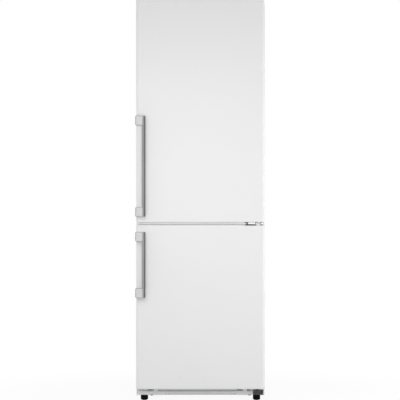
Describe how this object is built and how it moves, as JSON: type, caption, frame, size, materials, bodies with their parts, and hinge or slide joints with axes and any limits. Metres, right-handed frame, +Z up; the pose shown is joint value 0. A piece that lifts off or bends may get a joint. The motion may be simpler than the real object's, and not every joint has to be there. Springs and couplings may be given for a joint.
{
  "type": "refrigerator with bottom freezer",
  "caption": "Free-standing white refrigerator with the freezer below, doors hinged on the right, upright bar handles, drawers and glass shelves.",
  "frame": {"origin": "on the floor under the middle of the whole refrigerator, handles included", "axes": "+X to the right as one faces the doors, +Y to the back, +Z up"},
  "size_m": [0.5975, 0.669, 1.855],
  "materials": {
    "white_steel": "smooth satin enamel on sheet steel",
    "back_sheet": "plain coated sheet",
    "galvanised": "galvanised steel",
    "dark_steel": "dark grey coated steel",
    "black_enamel": "black enamel",
    "foam": "rigid foam, light as a stuffed fabric; it never shows",
    "liner_plastic": "smooth glossy white",
    "white_plastic": "fine-grained white",
    "grey_plastic": "fine-grained light grey",
    "black_plastic": "fine-grained black",
    "clear_plastic": "clear, faintly blue, glossy",
    "frosted_plastic": "milky",
    "shelf_glass": "clear toughened glass with white edges",
    "seal_rubber": "soft grey-white",
    "fin_aluminium": "bare",
    "bar_aluminium": "satin anodised grey",
    "bracket_silver": "satin silver",
    "screw_steel": "zinc-plated"
  },
  "bodies": {
    "cabinet": {"side_panel_left": "white_steel", "side_panel_right": "white_steel", "top_panel": "white_steel", "back_panel": "back_sheet", "insulation": "foam", "fridge_liner": "liner_plastic", "freezer_liner": "liner_plastic", "centre_rail": "white_steel", "base_frame": "galvanised", "plinth": "white_plastic", "top_hinge": "white_steel", "top_hinge_cover": "white_plastic", "middle_hinge": "white_steel", "bottom_hinge": "dark_steel", "hinge_screws": "screw_steel", "glass_shelf_1": "shelf_glass", "glass_shelf_2": "shelf_glass", "glass_shelf_3": "shelf_glass", "crisper_cover": "shelf_glass", "air_duct": "white_plastic", "control_housing": "white_plastic", "light_lens": "frosted_plastic", "freezer_shelf_low": "shelf_glass", "freezer_shelf_high": "shelf_glass", "evaporator": "fin_aluminium", "evaporator_cover": "white_plastic", "fan_motor": "black_plastic", "compressor": "black_enamel", "condenser": "black_enamel", "drip_tray": "white_plastic", "mains_inlet": "black_plastic"},
    "upper_door": {"upper_door_skin": "white_steel", "upper_door_foam": "foam", "upper_door_liner": "liner_plastic", "upper_door_seal": "seal_rubber", "upper_door_caps": "white_plastic", "upper_handle_bar": "bar_aluminium", "upper_handle_brackets": "bracket_silver", "door_shelf_top": "clear_plastic", "door_shelf_middle": "clear_plastic", "bottle_shelf": "clear_plastic"},
    "lower_door": {"lower_door_skin": "white_steel", "lower_door_foam": "foam", "lower_door_liner": "liner_plastic", "lower_door_seal": "seal_rubber", "lower_door_caps": "white_plastic", "lower_handle": "bracket_silver"},
    "door_switch": {"door_switch": "grey_plastic"},
    "thermostat_knob": {"thermostat_knob": "white_plastic"},
    "evaporator_fan": {"evaporator_fan": "grey_plastic"},
    "foot_left": {"foot_left": "black_plastic"},
    "foot_right": {"foot_right": "black_plastic"},
    "roller_left": {"roller_left": "black_plastic"},
    "roller_right": {"roller_right": "black_plastic"},
    "crisper_left": {"crisper_left": "clear_plastic"},
    "crisper_right": {"crisper_right": "clear_plastic"},
    "freezer_drawer_top": {"freezer_drawer_top": "clear_plastic"},
    "freezer_drawer_middle": {"freezer_drawer_middle": "clear_plastic"},
    "freezer_drawer_low": {"freezer_drawer_low": "clear_plastic"},
    "dairy_lid": {"dairy_lid": "clear_plastic"}
  },
  "joints": [
    {"name": "upper_door_hinge", "type": "hinge", "parent": "cabinet", "child": "upper_door", "pos_m": [0.265, -0.2645, 1.2], "axis": [0, 0, 1], "range_deg": [0, 135]},
    {"name": "lower_door_hinge", "type": "hinge", "parent": "cabinet", "child": "lower_door", "pos_m": [0.265, -0.2645, 0.45], "axis": [0, 0, 1], "range_deg": [0, 135]},
    {"name": "dairy_lid_hinge", "type": "hinge", "parent": "upper_door", "child": "dairy_lid", "pos_m": [0, -0.2225, 1.60309], "axis": [1, 0, 0], "range_deg": [0, 85]},
    {"name": "door_switch_slide", "type": "slide", "parent": "cabinet", "child": "door_switch", "axis": [0, -1, 0], "range_m": [0, 0.0062]},
    {"name": "thermostat_turn", "type": "hinge", "parent": "cabinet", "child": "thermostat_knob", "pos_m": [-0.085, -0.1315, 1.766], "axis": [0, -1, 0], "range_deg": [0, 270]},
    {"name": "fan_spin", "type": "hinge", "parent": "cabinet", "child": "evaporator_fan", "pos_m": [0, 0.2135, 0.678], "axis": [0, 1, 0], "continuous": true},
    {"name": "foot_left_turn", "type": "hinge", "parent": "cabinet", "child": "foot_left", "pos_m": [-0.2615, -0.1865, 0.03], "axis": [0, 0, 1], "continuous": true},
    {"name": "foot_right_turn", "type": "hinge", "parent": "cabinet", "child": "foot_right", "pos_m": [0.2615, -0.1865, 0.03], "axis": [0, 0, 1], "continuous": true},
    {"name": "roller_left_spin", "type": "hinge", "parent": "cabinet", "child": "roller_left", "pos_m": [-0.25, 0.2895, 0.02], "axis": [1, 0, 0], "continuous": true},
    {"name": "roller_right_spin", "type": "hinge", "parent": "cabinet", "child": "roller_right", "pos_m": [0.25, 0.2895, 0.02], "axis": [1, 0, 0], "continuous": true},
    {"name": "crisper_left_slide", "type": "slide", "parent": "cabinet", "child": "crisper_left", "axis": [0, -1, 0], "range_m": [0, 0.225]},
    {"name": "crisper_right_slide", "type": "slide", "parent": "cabinet", "child": "crisper_right", "axis": [0, -1, 0], "range_m": [0, 0.225]},
    {"name": "freezer_drawer_top_slide", "type": "slide", "parent": "cabinet", "child": "freezer_drawer_top", "axis": [0, -1, 0], "range_m": [0, 0.201]},
    {"name": "freezer_drawer_middle_slide", "type": "slide", "parent": "cabinet", "child": "freezer_drawer_middle", "axis": [0, -1, 0], "range_m": [0, 0.201]},
    {"name": "freezer_drawer_low_slide", "type": "slide", "parent": "cabinet", "child": "freezer_drawer_low", "axis": [0, -1, 0], "range_m": [0, 0.201]}
  ],
  "couplings": [
    {"joint": "door_switch_slide", "follows": "upper_door_hinge", "m_per_rad": 0.0026},
    {"joint": "crisper_left_slide", "follows": "upper_door_hinge", "m_per_rad": 0.095},
    {"joint": "crisper_right_slide", "follows": "upper_door_hinge", "m_per_rad": 0.095},
    {"joint": "freezer_drawer_top_slide", "follows": "lower_door_hinge", "m_per_rad": 0.085},
    {"joint": "freezer_drawer_middle_slide", "follows": "lower_door_hinge", "m_per_rad": 0.085},
    {"joint": "freezer_drawer_low_slide", "follows": "lower_door_hinge", "m_per_rad": 0.085}
  ]
}
